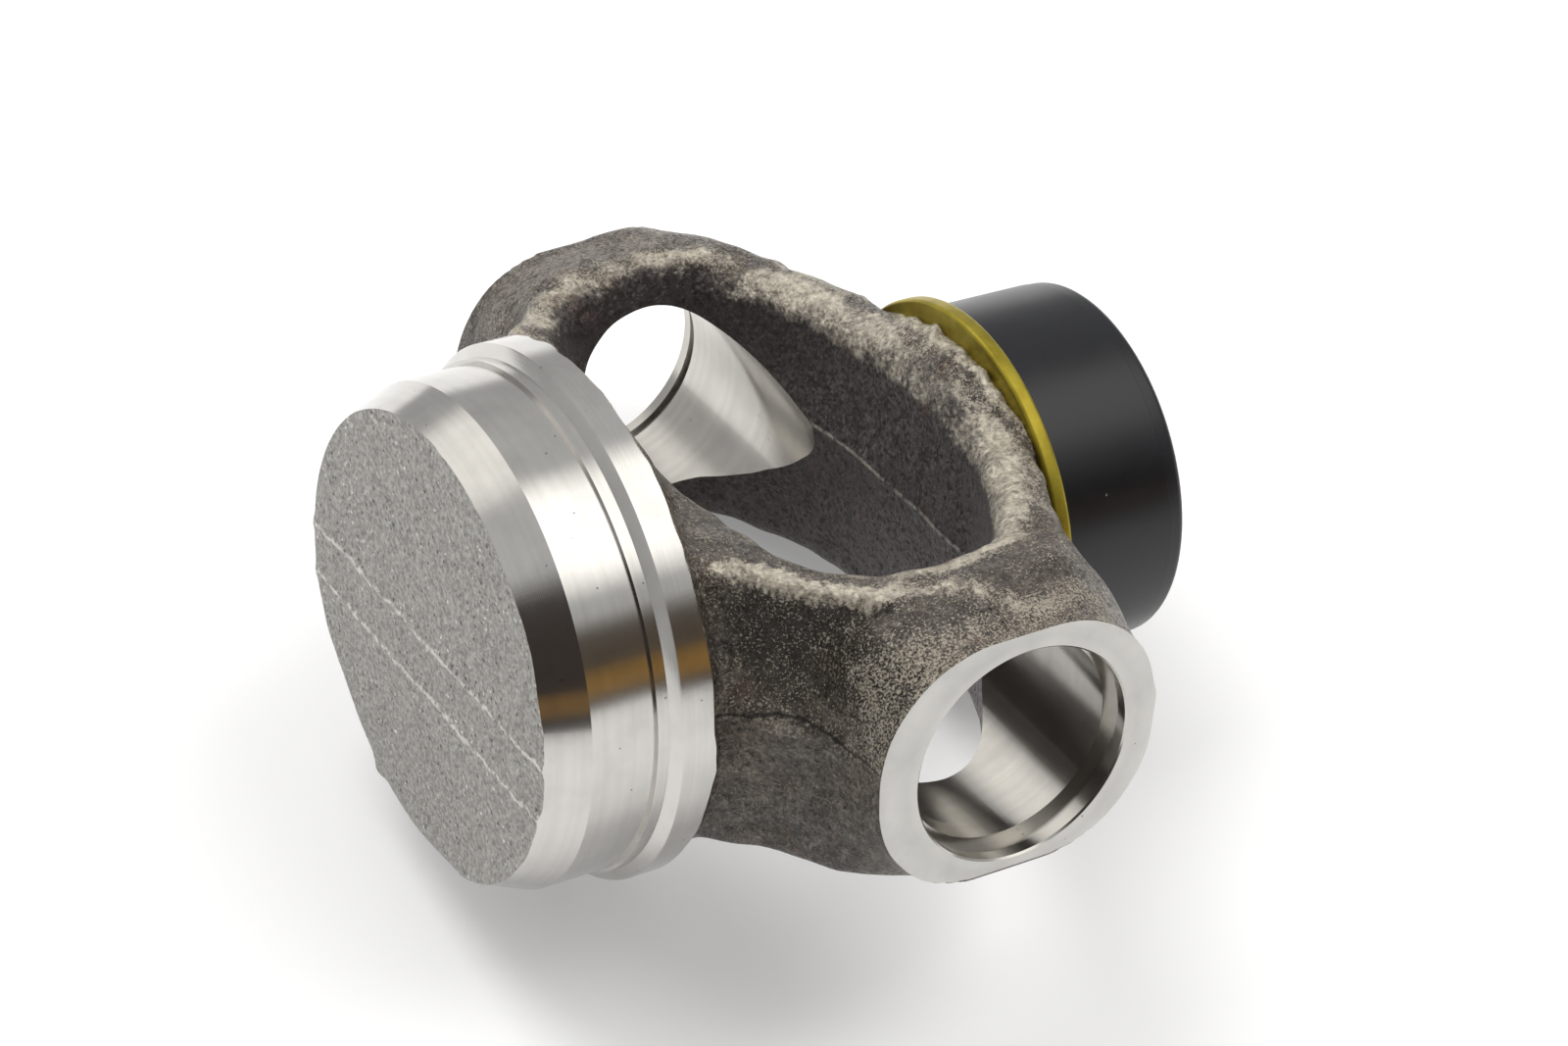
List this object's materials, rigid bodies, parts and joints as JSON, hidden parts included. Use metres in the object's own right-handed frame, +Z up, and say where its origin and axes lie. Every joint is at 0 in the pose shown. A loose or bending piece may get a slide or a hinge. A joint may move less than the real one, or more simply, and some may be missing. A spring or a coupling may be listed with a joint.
{
  "type": "forged weld yoke",
  "caption": "Forged double-Cardan drive-shaft weld yoke with machined tube seat, bored ears, seal ring and moulded end cap, lying as set down.",
  "frame": {"origin": "on the floor below the middle of the lying part's box", "axes": "+Z up; +X along the floor below the shaft axis, from the tube stub to the cap; +Y towards the ear that rests on the floor. The shaft axis falls 8.8 degrees towards the cap and the part is rolled 13.7 degrees about it, as it lies on its collar, cap rim and far ear"},
  "size_m": [0.1118, 0.1202, 0.0747],
  "materials": {
    "forged_steel": "dark grit-blasted forging skin, with turned and bored bright steel faces",
    "zinc_yellow": "yellow passivated zinc on thin steel",
    "black_moulding": "smooth black moulding with a soft sheen"
  },
  "bodies": {
    "root": {"yoke_forging": "forged_steel", "seal_ring": "zinc_yellow", "end_cap": "black_moulding"}
  },
  "joints": []
}
